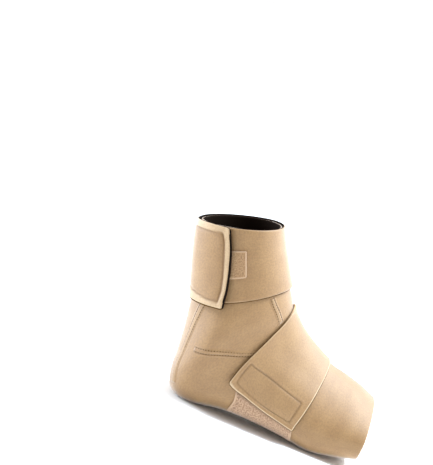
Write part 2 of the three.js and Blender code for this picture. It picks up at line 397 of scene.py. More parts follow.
def dark_knit():
    """Near-black cloth with knitted ribs and a fine fuzz."""
    material, tree = shader("dark_knit", LINING, roughness=0.9, Specular_IOR_Level=0.05)
    wales = ribs(tree, WALE_PITCH, "X")
    colour = ramp(tree, wales, 0.1, 0.9, shade(LINING, 0.55), LINING)
    return finished(material, colour, (wales, 0.16 * MM), (grain(tree, KNIT_FUZZ), 0.06 * MM))


def cut_foam():
    """The brown middle of the laminate, which shows where it is cut: dull, with pores.
    Near the instep a painted highlight turns the cut edge pale beige. It also colours dashes of painted
    shade in the seam grooves."""
    material, tree = shader("cut_foam", FOAM, roughness=0.95, Specular_IOR_Level=0.1)
    pores = grain(tree, PORES)
    colour = ramp(tree, pores, 0.35, 0.6, shade(FOAM, 0.6), FOAM)
    # painted highlight: cut edges near the instep are lightened
    colour = mixed(tree, "MIX", mark(tree, "painted_edge_light"), colour, FOAM_EDGE_LIGHT)
    return finished(material, colour, (pores, 0.1 * MM))


knit, foam = dark_knit(), cut_foam()

# %% Tapes and thread
TAPE_TONES = {  # gaps in the pile, pile, woven edge
    "side_loops": ((0.235, 0.13, 0.068), (0.44, 0.275, 0.165), (0.44, 0.28, 0.165)),
    "patch_loops": ((0.225, 0.122, 0.052), (0.35, 0.205, 0.095), (0.41, 0.255, 0.14)),
}
HOOK = (0.013, 0.009, 0.006)
THREAD = (0.24, 0.135, 0.05)
CLUMPS, FIBRES, HOOK_PITCH, TWIST = 1.3 * MM, 0.35 * MM, 1.2 * MM, 0.5 * MM


def loop_tape(name):
    """Rose-beige pile: clumps show darker gaps, and the woven edge is paler and flat."""
    gaps, pile, edge = TAPE_TONES[name]
    material, tree = shader(name, pile, roughness=0.9, Sheen_Weight=0.4, Sheen_Roughness=0.5)
    clumps = grain(tree, CLUMPS, detail=3, rough=0.65)
    colour = ramp(tree, clumps, 0.40, 0.58, gaps, pile)
    colour = mixed(tree, "MIX", mark(tree, "margin"), colour, edge)
    # darker where the groove mark is: the needle-hole dots, and the painted shadow of the strap's end
    colour = mixed(tree, "MIX", mark(tree, "groove"), colour, shade(gaps, 0.6))
    return finished(material, colour, (clumps, 0.25 * MM), (grain(tree, FIBRES), 0.08 * MM))


def hook_tape():
    """Near-black tape with a grid of tiny hooks, where two sets of ribs cross."""
    material, tree = shader("hook_tape", HOOK, roughness=0.6, Specular_IOR_Level=0.2)
    rows, columns = (ribs(tree, HOOK_PITCH, direction) for direction in "XY")
    pegs = node(tree, "ShaderNodeMath", {0: rows, 1: columns}, operation="MULTIPLY").outputs[0]
    return finished(material, ramp(tree, pegs, 0.2, 0.8, HOOK, shade(HOOK, 2.2)), (pegs, 0.4 * MM))


def sewing_thread():
    """Matt spun thread with a little colour change along its length."""
    material, tree = shader("sewing_thread", THREAD, roughness=0.75, Sheen_Weight=0.2)
    twist = grain(tree, TWIST, detail=1, where=in_space)
    colour = ramp(tree, twist, 0.35, 0.65, shade(THREAD, 0.75), THREAD)
    return finished(material, colour, (twist, 0.05 * MM))


side_loops, patch_loops = map(loop_tape, TAPE_TONES)
hooks, thread = hook_tape(), sewing_thread()

# %% [markdown]
# ## The boot
# The base of the wrap is a soft boot: heel, sole, ankle tube and forefoot sleeve. On the real thing it
# is sewn from a few panels and stretched as it is worn, so it has no hard creases. One closed grid
# follows the formula above, and a slow ripple of a few tenths of a millimetre stands for the ease in the
# cloth. Sculpting could do that too, but would leave the other layers nothing to follow. The two rims
# are round, with the dark back showing inside. The solid that the boot stands for stays hidden, and
# keeps its collision.

# %% Make the boot
WALL, TAPE_THICK, GAP = 2.4 * MM, 1.0 * MM, 0.3 * MM
COLLAR_FAN, TOE_FAN, TOE_SKEW, TOE_RAKE = 74.2, -1.3, 0.6, 0.4
BOOT_LENGTH, BOOT_ROUND, BOOT_HALF = 0.30, 0.24, 0.04  # metres along the fan, round it, and half across
BOOT_COLUMNS = 145
EASE_FADE = 8 * MM
# painted highlight along the toe rim: its strength and its width
TOE_HIGHLIGHT, TOE_HIGHLIGHT_WIDE = 0.5, 2.5 * MM
TURN = 6.28  # radians
# three waves: their direction along a and b, their length as a share, and their phase
RIPPLES = [(1, 0.3, 1, 0), (-0.4, 1, 1.37, 1.1), (1, -0.8, 0.73, 2.3)]


def round_edge(inside, half):
    """Share of the thickness at a distance inside the edge: a quarter circle as wide as half the sheet."""
    return np.sqrt(1 - (1 - np.clip(inside / half, 0, 1)) ** 2)


def wave(x, length, phase=0.0):
    """A sine wave along x that repeats at each length."""
    return np.sin(TURN * x / length + phase)


def ripple(a, b, size, height):
    """Ease in the cloth: crossing sine waves of unlike lengths, averaged, times a height."""
    waves = sum(wave(p * a + q * b, length * size, phase) for p, q, length, phase in RIPPLES)
    return height * waves / len(RIPPLES)


def make_boot():
    """The outer grid is the formula with a ripple, the inner one lies a wall's thickness further in."""
    along = graded(BOOT_LENGTH, [0, BOOT_LENGTH], fine=0.25 * MM, coarse=2.6 * MM, reach=1.6 * MM)
    a, around = np.meshgrid(along, np.linspace(0, 360, BOOT_COLUMNS), indexing="ij")
    angle = np.radians(around)
    toe = TOE_FAN + TOE_SKEW * np.sin(angle) - TOE_RAKE * np.cos(angle)
    fan = toe + (COLLAR_FAN - toe) * a / BOOT_LENGTH
    inside = np.minimum(a, BOOT_LENGTH - a)
    edge = round_edge(inside, WALL / 2)
    ease = ripple(a, BOOT_HALF * np.sin(angle), size=38 * MM, height=0.25 * MM) * smooth(inside / EASE_FADE)
    heights = -WALL / 2 + edge * WALL / 2 + np.minimum(ease, 0), -WALL / 2 - edge * WALL / 2
    cut = a, around / 360 * BOOT_ROUND
    # painted highlight on the toe rim
    marks = {"margin": TOE_HIGHLIGHT * smooth(1 - a / TOE_HIGHLIGHT_WIDE), "groove": 0 * a}
    tone = np.repeat([0, 1], (len(along) - 1) * (BOOT_COLUMNS - 1))
    return new_sheet("boot_cloth", (fan, around), heights, cut, marks, [cloth, knit], tone, closed=True)


boot = make_boot()
print("boot faces:", len(boot.data.polygons))

# %% [markdown]
# ## The ankle band and its tab
# The band is one long strip. It starts on the outer side, goes round the front, the inner side and the
# back, and comes over its own start as a tab. A rectangle of stitches holds hook tape under the tab. It
# presses a groove into the cloth, with a soft pillow inside and a margin outside. Painted shade darkens
# the groove, and a painted highlight makes the margin paler.
# A flat strip could be bent with a curve modifier. Here a function carries the strip's own coordinates,
# across and along, to the two angles and a lift, so the overlap is just a smooth rise of the lift.

# %% The band's own coordinates
STRIP_STEPS = 801
ON_BAND = GAP + WALL + GAP
TAB_LIFT = ON_BAND + TAPE_THICK + GAP
TAB_RISE_FROM, TAB_RISE_OVER = -168, 40
TAB_END = (-253.5, -254.3, -256, -256.7, -253.2)
BAND_START = (130, 130)
BAND_STATIONS = [  # around, lower edge, upper edge
    (-258, 52.1, 74.2),
    (-235, 53.8, 74.5),
    (-205, 55.4, 74.6),
    (-180, 56.2, 74.5),
    (-90, 54.2, 74.4),
    (0, 51.5, 74.7),
    (45, 52.1, 74.5),
    (108, 54.0, 74.3),
    (130, 54.7, 74.3),
]


def run_along(points):
    """Metres along a line of points, from its first point to each of them."""
    steps = np.linalg.norm(np.diff(points, axis=0), axis=-1)
    return np.concatenate([[0], np.cumsum(steps)])


class Strip:
    """A strip's own coordinates: across and along run from 0 to 1, and a call gives fan, around, lift.
    The stations hold around, the front edge and the rear edge. The start and the end give the around
    angle of the two ends at even steps across. Along is a share of the length of the middle line."""

    def __init__(self, stations, start, end, lift, thick):
        self.stations = np.array(stations, float).T
        self.start, self.end = np.array(start, float), np.array(end, float)
        self.lift, self.thick = lift, thick
        self.turn = self.run = np.linspace(0, 1, STRIP_STEPS)
        half_way = np.full(STRIP_STEPS, 0.5)
        run = run_along(lay(*self(half_way, self.turn)))
        self.long, self.run = run[-1], run / run[-1]
        self.wide = run_along(lay(*self(self.turn, half_way)))[-1]

    def ends(self, across):
        """Around angle of the start and of the end at a place across."""
        return tuple(curve(np.linspace(0, 1, len(end)), end, across) for end in (self.start, self.end))

    def edges(self, around):
        """Fan angle of the front and of the rear edge at a place around."""
        return tuple(curve(self.stations[0], edge, around) for edge in self.stations[1:])

    def __call__(self, across, along):
        start, end = self.ends(across)
        around = start + (end - start) * np.interp(along, self.run, self.turn)
        front, rear = self.edges(around)
        return front + (rear - front) * across, around, self.lift(around)

    def size(self):
        """Its flat width and length in millimetres, as words."""
        return f"{self.wide / MM:.1f} by {self.long / MM:.1f}"


def band_lift(around):
    """Lies on the boot, then rises in an S over its own start and the hook tape."""
    return GAP + (TAB_LIFT - GAP) * smooth((TAB_RISE_FROM - around) / TAB_RISE_OVER)


band_spot = Strip(BAND_STATIONS, TAB_END, BAND_START, band_lift, WALL)
print("band, flat, in mm:", band_spot.size())

# %% Stitched panels and cut edges
HALF_DEGREE = 0.5
CORNER_SOFT = 0.6 * MM
BEVEL_RISE = 0.35
EDGE_NAMES = ("front", "rear", "start", "end")
EDGE_NEAR, EDGE_POWER = 0.3 * MM, -3
TAB_PANEL = np.array([  # fan, around of its corners
    (54.6, -245.8),
    (62, -247.6),
    (67, -248.2),
    (70.7, -247.4),
    (72.6, -244),
    (72.8, -172),
    (60.2, -172),
])


def metres_per_degree(fan, around):
    """Length on the boot of one degree of fan and of one degree of around."""
    return np.array([np.linalg.norm(step) for step in steps_at(fan, around, HALF_DEGREE)])


def panel_distance(fan, around, corners):
    """Signed distance in metres to an outline given by its corners' angles, below nought inside.
    Each side's line gives a distance, with degrees turned to metres at the middle. A soft maximum, the
    logarithm of the summed exponentials, joins them and rounds the corners."""
    scale = metres_per_degree(*corners.mean(axis=0))
    spot, corners = np.stack([fan, around], axis=-1) * scale, corners * scale
    side = unit(np.roll(corners, -1, axis=0) - corners)
    across = np.stack([side[:, 1], -side[:, 0]])
    far = spot @ across - (corners * across.T).sum(axis=1)
    return CORNER_SOFT * np.log(np.exp(far / CORNER_SOFT).sum(axis=-1))


def rounded_corners(a, b, wide, long, radius):
    """Pulls the corners of a rectangle's grid in to quarter circles.
    Near a corner, x and y run from 0 to 1 towards the two edges. Each is multiplied by the root of one
    less half the other's square, which sends a square to a disc. Also returns the distance to the
    nearest edge."""
    x = np.clip(1 - np.minimum(a, wide - a) / radius, 0, 1)
    y = np.clip(1 - np.minimum(b, long - b) / radius, 0, 1)
    new_x, new_y = x * np.sqrt(1 - y * y / 2), y * np.sqrt(1 - x * x / 2)
    a = a + np.where(a < wide / 2, radius, -radius) * (x - new_x)
    b = b + np.where(b < long / 2, radius, -radius) * (y - new_y)
    return a, b, radius * (1 - np.hypot(new_x, new_y))


def cut_edge(inside, half, bevel):
    """Share of half the thickness at a distance inside a cut edge: a low slope across the bevel, then a
    quarter circle. The slope takes about a third, so that the cut shows from the front."""
    slope = np.clip(inside / bevel, 0, 1)
    return BEVEL_RISE * slope + (1 - BEVEL_RISE) * round_edge(np.clip(inside - bevel, 0, None), half)


def edge_mean(to_edge, values):
    """Spreads a value for each edge over the strip: a mean weighted by the nearness to the edges, cubed."""
    nearness = [(to_edge[key] + EDGE_NEAR) ** EDGE_POWER for key in EDGE_NAMES]
    return sum(near * value for near, value in zip(nearness, values)) / sum(nearness)


tab_degree = metres_per_degree(*TAB_PANEL.mean(axis=0))
print("a degree of fan and of around on the tab, in mm:", (tab_degree / MM).round(2))

# %% Make the ankle band
GROOVE_HALF, PILLOW_OVER = 0.7 * MM, 4 * MM
WELT_AT, WELT_HIGH = 2 * MM, 0.12 * MM
CURL_OVER = 6.5 * MM
# where the painted highlight lies on the rim outside the groove
MARGIN_FROM, MARGIN_OVER = 0.5 * MM, 0.8 * MM
MARGIN_TO, MARGIN_FADE = 8 * MM, 2 * MM
# the painted highlight line along the cut edges
PALE_TO, PALE_FADE = 1.19 * MM, 0.7 * MM
# where cut edges near the instep get their painted highlight, in degrees
EDGE_LIGHT_TO, EDGE_LIGHT_OVER = 38, 28  # degrees from the instep
CUT_SLACK = 0.1 * MM
TAB_STRETCH = (0, 55 * MM)
STEPS_ALONG = {"fine": 0.45 * MM, "coarse": 2.6 * MM, "reach": 1.4 * MM}
TAB_STYLE = {
    "steps": {"fine": 0.22 * MM, "coarse": 1.1 * MM, "reach": 1.4 * MM},
    # the margin value sets the painted highlight on the rim, and the last value the painted shade in the
    # groove
    "depth": 0.6 * MM, "pillow": 0.35 * MM, "margin": 0.6, "groove_shade": 0.75,
    "corner": 2.6 * MM, "free_end": "start", "curl": 1.2 * MM,
    # lower edge, upper edge, tab end, sewn start
    # pale sets the painted highlight line along each cut edge
    "bevel": (0.8 * MM, 0.45 * MM, 2.1 * MM, 0.4 * MM), "pale": (0, 0, 0, 0), "dark": (0, 1, 1, 0),
}


def strip_grid(spot, corner, across, along, stretch=(0, 0)):
    """Grid of a strip with round corners, and its distance to each edge.
    Its lines crowd at the edges and in a stretch along it, by the steps for across and along."""
    marks = np.concatenate([[0, spot.long], np.arange(*stretch, MM)])
    lines = graded(spot.wide, [0, spot.wide], **across), graded(spot.long, marks, **along)
    a, b, inside = rounded_corners(*np.meshgrid(*lines, indexing="ij"), spot.wide, spot.long, corner)
    return a, b, inside, dict(zip(EDGE_NAMES, (a, spot.wide - a, b, spot.long - b)))


def strip_marks(far, from_bevel, around, pale, style):
    """A painted highlight fills the rim outside the groove and lines the cut edges, and painted shade
    darkens the groove. Cut edges near the instep get painted light as well."""
    rim = smooth((far - MARGIN_FROM) / MARGIN_OVER) * smooth((MARGIN_TO - far) / MARGIN_FADE)
    line = smooth((PALE_TO - from_bevel) / PALE_FADE)
    return {
        # painted highlight on the rim and along the cut edges
        "margin": np.maximum(style["margin"] * rim, pale * line),
        # painted shade in the groove
        "groove": style["groove_shade"] * bell(far, GROOVE_HALF),
        # painted highlight on cut edges near the instep
        "painted_edge_light": smooth((EDGE_LIGHT_TO - np.abs(around)) / EDGE_LIGHT_OVER),
    }


def make_strip(name, spot, panel, stretch, style):
    """A strip with cut edges and one stitched panel.
    The outer face stands half a thickness above the middle. Its relief is a groove, a bell curve along
    the panel's outline, with a pillow inside it and a low welt outside. The free end curls up a little.
    The cut shows the dark back or the brown foam."""
    a, b, inside, to_edge = strip_grid(spot, style["corner"], style["steps"], STEPS_ALONG, stretch)
    fan, around, lift = spot(a / spot.wide, b / spot.long)
    far, half = panel_distance(fan, around, panel), spot.thick / 2
    bevel, pale, dark = (edge_mean(to_edge, style[key]) for key in ("bevel", "pale", "dark"))
    pillow = style["pillow"] * smooth(-far / PILLOW_OVER)
    welt = WELT_HIGH * smooth(1 - np.abs(far / WELT_AT - 1))
    groove = style["depth"] * bell(far, GROOVE_HALF)
    relief = pillow + welt - groove + ripple(a, b, size=31 * MM, height=0.12 * MM)
    middle = lift + half + style["curl"] * smooth(1 - to_edge[style["free_end"]] / CURL_OVER)
    outer = middle + cut_edge(inside, half, bevel) * (half + relief)
    inner = middle - round_edge(inside, half) * half
    marks = strip_marks(far, inside - bevel, around, pale, style)
    on_cut = [at_corners(inside < reach).all(axis=1) for reach in (bevel + CUT_SLACK, half)]
    back_or_foam = np.where(at_corners(dark).mean(axis=1) > 0.5, 1, 2)
    tone = np.concatenate([np.where(here, back_or_foam, face) for face, here in enumerate(on_cut)])
    return new_sheet(name, (fan, around), (outer, inner), (b, a), marks, [cloth, knit, foam], tone)


band = make_strip("ankle_band_cloth", band_spot, TAB_PANEL, TAB_STRETCH, TAB_STYLE)
print("band faces:", len(band.data.polygons))

# %% [markdown]
# ## The instep strap
# The strap is sewn to the inner side near the sole, crosses the instep and ends on the outer side with
# its end cut askew. It could be modelled on its own, but it is the same kind of strip, so the same
# function makes it from another short table. Its stitched box is close to the free end, and shows where
# hook tape sits underneath; painted shade darkens the box's groove. Its cut edges show the brown middle
# of the laminate, with a line of painted highlight above it at the front and at the end.

# %% Make the instep strap
STRAP_ROOT = (-122, -122)
STRAP_END = (106.5, 91.2)
STRAP_END_LIFT = GAP + TAPE_THICK + GAP
STRAP_RISE_FROM, STRAP_RISE_OVER = 45, 20
STRAP_STATIONS = [  # around, front edge, rear edge
    (-122, 12.0, 30.0),
    (-90, 14.5, 34.5),
    (-45, 17.3, 40.7),
    (0, 18.8, 44.6),
    (45, 18.1, 41.4),
    (75, 17.5, 38.2),
    (105, 17.2, 34.0),
]
HOOK_PANEL = np.array([  # fan, around of its corners
    (20.0, 71.3),
    (25.8, 69.9),
    (34.3, 69.9),
    (37.1, 71.4),
    (35.2, 86.2),
    (31.1, 89.0),
    (27.2, 90.0),
    (19.3, 91.0),
])
BOX_STRETCH = 36 * MM
STRAP_STYLE = {
    "steps": {"fine": 0.22 * MM, "coarse": 0.6 * MM, "reach": 1.4 * MM},
    # the margin value sets the painted highlight on the rim, and the last value the painted shade in the
    # groove
    "depth": 0.45 * MM, "pillow": 0.15 * MM, "margin": 0.0, "groove_shade": 0.7,
    "corner": 1.7 * MM, "free_end": "end", "curl": 1.6 * MM,
    # front edge, rear edge, sewn root, free end
    # pale sets the painted highlight line along each cut edge
    "bevel": (0.6 * MM, 0.65 * MM, 0.4 * MM, 0.6 * MM), "pale": (0.9, 0.45, 0, 0.75), "dark": (0, 0, 0, 0),
}


def strap_lift(around):
    """Lies on the boot, then rises over the tapes under its end."""
    return GAP + (STRAP_END_LIFT - GAP) * smooth((around - STRAP_RISE_FROM) / STRAP_RISE_OVER)


strap_spot = Strip(STRAP_STATIONS, STRAP_ROOT, STRAP_END, strap_lift, WALL)
box_stretch = (strap_spot.long - BOX_STRETCH, strap_spot.long)
strap = make_strip("instep_strap_cloth", strap_spot, HOOK_PANEL, box_stretch, STRAP_STYLE)
print("strap, flat, in mm:", strap_spot.size())

# %% [markdown]
# ## Tapes
# Four short tapes do the fastening. Two are rose-beige loop tape: a small square on the band and a wider
# one low on the outer side. Two are dark hook tape under the tab and under the strap's end. They are
# strips as well, with a woven edge and a pile that stands a little higher inside it. Hair particles
# could make the pile, but its clumps are only about a millimetre wide, so bumps on the grid are enough.
# Bump shading alone would leave the outline of the tape too clean.

# %% Make the tapes
TAPE_STEPS = {"fine": 0.2 * MM, "coarse": 0.55 * MM, "reach": 1.2 * MM}
TAPE_EDGE_WIDE, TAPE_EDGE_FADE = 1.0 * MM, 0.5 * MM
CLUMP_WIDE, CLUMP_LONG = 1.9 * MM, 1.7 * MM
WANDER, WANDER_WIDE, WANDER_LONG = 2, 900, 700  # radians, and radians for each metre
PILE_EVEN = 0.7
HOLE_ROW, HOLE_PITCH, HOLE_HALF = 3.6 * MM, 4.4 * MM, 0.6 * MM
# painted shadow of a strip's free end on the tape: its width past the end and its darkness
END_SHADOW_WIDE, END_SHADOW_TONE = 4.0 * MM, 0.75


def past_end(spot, fan, around):
    """Metres from a strip's free end to a spot beyond it, measured round the boot."""
    front, rear = spot.edges(around)
    _, end = spot.ends((fan - front) / (rear - front))
    return (around - end) * metres_per_degree(fan.mean(), around.mean())[1]


def make_tape(name, stations, height, finish, pile, holes=0.0, cover=None):
    """A flat strip at a height: inside its woven edge the face rises by the pile, which two crossed waves
    break into clumps. Needle holes, as dark as given, lie in a row inside the rear edge. A painted shadow
    darkens the pile where a strip's free end covers it, and for a few millimetres past that end."""
    first, last = stations[0][0], stations[-1][0]
    spot = Strip(stations, (first, first), (last, last), lambda around: height + 0 * around, TAPE_THICK)
    a, b, inside, to_edge = strip_grid(spot, TAPE_THICK, TAPE_STEPS, TAPE_STEPS)
    within = smooth((np.minimum.reduce([*to_edge.values()]) - TAPE_EDGE_WIDE) / TAPE_EDGE_FADE)
    clumps = wave(a, CLUMP_WIDE, WANDER * np.sin(WANDER_WIDE * b))
    clumps = clumps * wave(b, CLUMP_LONG, WANDER * np.sin(WANDER_LONG * a))
    raised = within * pile * (PILE_EVEN + (1 - PILE_EVEN) * clumps)
    fan, around, lift = spot(a / spot.wide, b / spot.long)
    half, edge = TAPE_THICK / 2, round_edge(inside, TAPE_THICK / 2)
    heights = lift + half + edge * (half + raised), lift + half - edge * half
    row = bell(spot.wide - a - HOLE_ROW, HOLE_HALF) * smooth(np.cos(TURN * b / HOLE_PITCH))
    # painted shadow under and past the strip's free end
    end_shadow = smooth(1 - past_end(cover, fan, around) / END_SHADOW_WIDE) if cover else 0 * a
    marks = {"margin": 1 - within, "groove": np.maximum(holes * row, END_SHADOW_TONE * end_shadow)}
    print(name, "flat, in mm:", spot.size())
    return new_sheet(name, (fan, around), heights, (b, a), marks, [finish]), spot


PATCH_STATIONS = [(87, 60.2, 68.0), (113, 60.2, 68.0)]  # around, front edge, rear edge
SIDE_STATIONS = [(92, 18.6, 33.4), (110, 17.2, 31.7), (134, 15.6, 30.6)]
TAB_HOOK_STATIONS = [(116, 55.2, 72.6), (146, 56.8, 72.6)]
END_HOOK_STATIONS = [(72, 20.0, 36.2), (86, 19.2, 35.2)]
patch, patch_spot = make_tape("ankle_patch_tape", PATCH_STATIONS, ON_BAND, patch_loops, pile=0.2 * MM)
# the strap's end casts a painted shadow on this tape
side_tape, side_spot = make_tape(
    "side_tape_pile", SIDE_STATIONS, GAP, side_loops, pile=0.25 * MM, holes=0.8, cover=strap_spot
)
tab_hook, tab_hook_spot = make_tape("ankle_hook_tape", TAB_HOOK_STATIONS, ON_BAND, hooks, pile=0.15 * MM)
end_hook, end_hook_spot = make_tape("instep_hook_tape", END_HOOK_STATIONS, GAP, hooks, pile=0.15 * MM)

# %% [markdown]
# ## Seams
# Three sewn seams show on the boot: one down the back, a dart across the outer ankle, and one from the
# band down to the strap. A displacement map could draw them, but needs a very dense boot. Here each is a
# ribbon whose profile is carried along a path. The profile has thin feathered sides, a groove for each
# line of stitches and a raised rib between them. The feathered sides dip just under the boot's face, so
# the ribbon looks like part of the same cloth.

# %% Paths over the boot
ROUTE_STEPS = 1001
BACK_SEAM = [  # fan, around
    (55.2, 137.5),
    (53.1, 142.6),
    (50.6, 147.6),
    (47.5, 150.6),
    (44.0, 152.4),
    (40.5, 151),
]
SIDE_SEAM = [(45.8, 133.0), (44.6, 117.5), (43.0, 99), (41.1, 83), (37.6, 62)]
FRONT_SEAM = [(51.8, 52.2), (49.0, 48.8), (46.0, 44.2), (42.3, 39.0)]


def route(stations, count):
    """Even steps along a smooth line through a few stations of fan and around, and its length."""
    table = np.array(stations, float)
    t, fine = np.linspace(0, 1, len(table)), np.linspace(0, 1, ROUTE_STEPS)
    fan, around = (curve(t, column, fine) for column in table.T)
    run = run_along(lay(fan, around, np.zeros(ROUTE_STEPS)))
    even = np.linspace(0, run[-1], count)
    return np.interp(even, run, fan), np.interp(even, run, around), run[-1]


def carry(fan, around, offset):
    """The fan and around of spots beside a path, offset metres to its side.
    The surface's slopes turn that step into steps of the two angles, so the spots stay on the boot."""
    forward = unit(np.gradient(skin(fan, around), axis=0))
    sideways = np.cross(forward, outward(fan, around))
    slopes = np.stack(steps_at(fan, around, HALF_DEGREE), axis=-1)
    step = (np.linalg.pinv(slopes) @ sideways[..., None])[..., 0]
    return fan + offset * step[:, 0], around + offset * step[:, 1]


for seam in (BACK_SEAM, SIDE_SEAM, FRONT_SEAM):
    print("length of a seam in mm:", round(route(seam, 2)[2] / MM, 1))

# %% Make the seams
SEAM_ALONG, SEAM_ACROSS = 240, 61
SEAM_FEATHER, SEAM_HIGH, SEAM_DEEP, SINK = 2.2 * MM, 0.5 * MM, 0.4 * MM, 0.05 * MM
DIP_DEEP, DIP_HALF, CROWN_IN = 0.36 * MM, 0.45 * MM, 0.2 * MM
# the second value is the half width of the painted shade in the grooves
TAPER, GROOVE_SHADE_HALF = 1.8 * MM, 0.8 * MM
# the painted highlight on the rib's crest
CREST_IN, CREST_HALF = 0.9 * MM, 0.5 * MM
TACK_AT, TACK_PAST = 1.3 * MM, 0.3 * MM
# dashes of the foam finish are painted shade along the grooves
STITCH_PITCH, DASH, DASH_HALF = 2.5 * MM, 0.65, 0.5 * MM


def seam_profile(offset, groove, rib, pull):
    """Height across the seam: feathered sides, a bell-shaped dip at each stitch line and a round rib
    between. The dip is as deep as the thread's pull there, a share from 0 to 1."""
    far = np.abs(offset)
    sides = SEAM_HIGH * smooth((groove + SEAM_FEATHER - far) / SEAM_FEATHER)
    dip = DIP_DEEP * pull * bell(far - groove, DIP_HALF)
    crown = rib * np.sqrt(np.clip(1 - (far / (groove - CROWN_IN)) ** 2, 0, 1))
    return sides - dip + crown


def make_seam(name, stations, grooves, rib, pale, groove_shade, lean, tack=0.0):
    """Carries the profile along the path. The distance to the grooves changes evenly from end to end, and
    the painted shade in them follows values at even steps. The lean moves a share of it from the left
    groove to the right. Both ends taper into the boot, and a tack line of painted shade may join the
    grooves at the start. Dashes along the grooves take the dark brown foam finish as painted shade at the
    needle holes, and grow with the shade. A pale painted highlight lies along the rib's crest."""
    fan, around, long = route(stations, SEAM_ALONG)
    groove, run = np.linspace(*grooves, SEAM_ALONG), np.linspace(0, long, SEAM_ALONG)
    taper = smooth(np.minimum(run, long - run) / TAPER)
    offset = np.linspace(-1, 1, SEAM_ACROSS)[:, None] * (groove + SEAM_FEATHER)
    tone = np.interp(run / long, np.linspace(0, 1, len(groove_shade)), groove_shade)
    tone = np.clip(tone * (1 + lean * np.sign(offset)), 0, 1)
    height = seam_profile(offset, groove, rib, tone / tone.max()) * taper - SINK
    heights = height, np.minimum(height, 0) - SEAM_DEEP
    beside = np.abs(offset) - groove
    # painted shade line where the tack crosses at the start
    tacked = tack * bell(run - TACK_AT, GROOVE_SHADE_HALF) * (beside < TACK_PAST)
    marks = {
        # painted shade in the grooves
        "groove": np.maximum(tone * bell(beside, GROOVE_SHADE_HALF), tacked),
        # painted highlight on the rib's crest
        "margin": pale * bell(beside + CREST_IN, CREST_HALF) * taper,
    }
    # painted shade: dark foam dashes along the grooves
    shade_dashes = (np.abs(beside) < DASH_HALF) & (run % STITCH_PITCH < DASH * tone * STITCH_PITCH)
    shade_dashes = at_corners(shade_dashes).all(axis=1)
    print(name, "faces with foam:", shade_dashes.sum())
    spots, finish = carry(fan, around, offset), np.concatenate([shade_dashes, 0 * shade_dashes])
    return new_sheet(name, spots, heights, (run, offset), marks, [cloth, foam], finish)


BACK_GROOVES = (2.5 * MM, 2.3 * MM)
SIDE_GROOVES = (2.0 * MM, 1.2 * MM)
FRONT_GROOVES = (1.55 * MM, 2.1 * MM)
# pale sets the painted highlight on the crest, and the values along each seam its painted groove shade
BACK_STYLE = {"rib": 0.25 * MM, "pale": 0.4, "groove_shade": (1.0, 1.0, 0.9, 0.6, 0.1), "lean": 0.4}
SIDE_STYLE = {"rib": 0.25 * MM, "pale": 0.1, "groove_shade": (1.0, 0.7, 0.5), "lean": 0.3, "tack": 1.0}
FRONT_STYLE = {"rib": 0.3 * MM, "pale": 0.35, "groove_shade": (0.7, 0.7), "lean": -0.35}
back_seam = make_seam("back_seam_rib", BACK_SEAM, BACK_GROOVES, **BACK_STYLE)
side_seam = make_seam("side_seam_dart", SIDE_SEAM, SIDE_GROOVES, **SIDE_STYLE)
front_seam = make_seam("front_seam_rib", FRONT_SEAM, FRONT_GROOVES, **FRONT_STYLE)

# %% [markdown]
# ## Stitches
# Every line of sewing is a row of short bowed threads, about as long as a grain of rice is thick.
# Hundreds of them would be slow as objects, so one call makes a whole row as a single mesh. Each stitch
# is a capsule: rings of six points along a small bow, closed by a point at both ends.

# %% Rows of stitches
STITCH_LONG, STITCH_RADIUS = 1.9 * MM, 0.24 * MM
STITCH_BOW, STITCH_SUNK = 0.9, 0.35  # as shares of the radius
RINGS, SIDES = 5, 6
RING_POINTS, STITCH_POINTS = RINGS * SIDES, RINGS * SIDES + 2


def stitch_mesh(fan, around, lift):
    """Points, quads and triangles of a row of stitches along a line of fan, around and lift.
    Stations along each stitch are even steps of length. A ring lies across the line, its radius follows a
    half circle, and the whole stitch bows up by a sine."""
    run = run_along(lay(fan, around, lift))
    count = max(int(run[-1] / STITCH_PITCH), 1)
    t = np.linspace(0, 1, RINGS + 2)
    at = (np.arange(count)[:, None] + 0.5) * run[-1] / count + (t - 0.5) * STITCH_LONG
    f, g, h = (np.interp(at, run, values) for values in (fan, around, lift))
    centre = lay(f, g, h + STITCH_RADIUS * (STITCH_BOW * np.sin(np.pi * t) - STITCH_SUNK))
    forward = unit(np.gradient(centre, axis=1))
    up = outward(f, g)
    side = np.cross(forward, up)
    radius = STITCH_RADIUS * np.sqrt(1 - (2 * t[1:-1] - 1) ** 2)
    phi = np.arange(SIDES) * 2 * np.pi / SIDES
    circle = np.cos(phi)[:, None] * side[:, 1:-1, None] + np.sin(phi)[:, None] * up[:, 1:-1, None]
    rings = centre[:, 1:-1, None] + radius[:, None, None] * circle
    points = np.concatenate([rings.reshape(count, -1, 3), centre[:, [0, -1]]], axis=1)
    index = np.arange(RING_POINTS).reshape(RINGS, SIDES)
    index = np.concatenate([index, index[:, :1]], axis=1)
    first, last = np.full((2, SIDES), [[RING_POINTS], [RING_POINTS + 1]])
    start = np.stack([first, index[0, :-1], index[0, 1:]], axis=1)
    end = np.stack([last, index[-1, 1:], index[-1, :-1]], axis=1)
    shift = STITCH_POINTS * np.arange(count)[:, None, None]
    quads, tris = quads_of(index) + shift, np.concatenate([start, end]) + shift
    return points.reshape(-1, 3), quads.reshape(-1, 4), tris.reshape(-1, 3)


def stitch_rows(name, lines):
    """One object from several rows of stitches, with their numbering shifted to follow on."""
    made = [stitch_mesh(*line) for line in lines]
    shift = np.cumsum([0] + [len(points) for points, _, _ in made])
    points = np.concatenate([row[0] for row in made])
    quads, tris = (np.concatenate([row[k] + s for row, s in zip(made, shift)]) for k in (1, 2))
    print(name, "stitches:", len(points) // STITCH_POINTS)
    return new_piece(name, points, [*quads.tolist(), *tris.tolist()], [thread])


print("points of a stitch:", STITCH_POINTS)

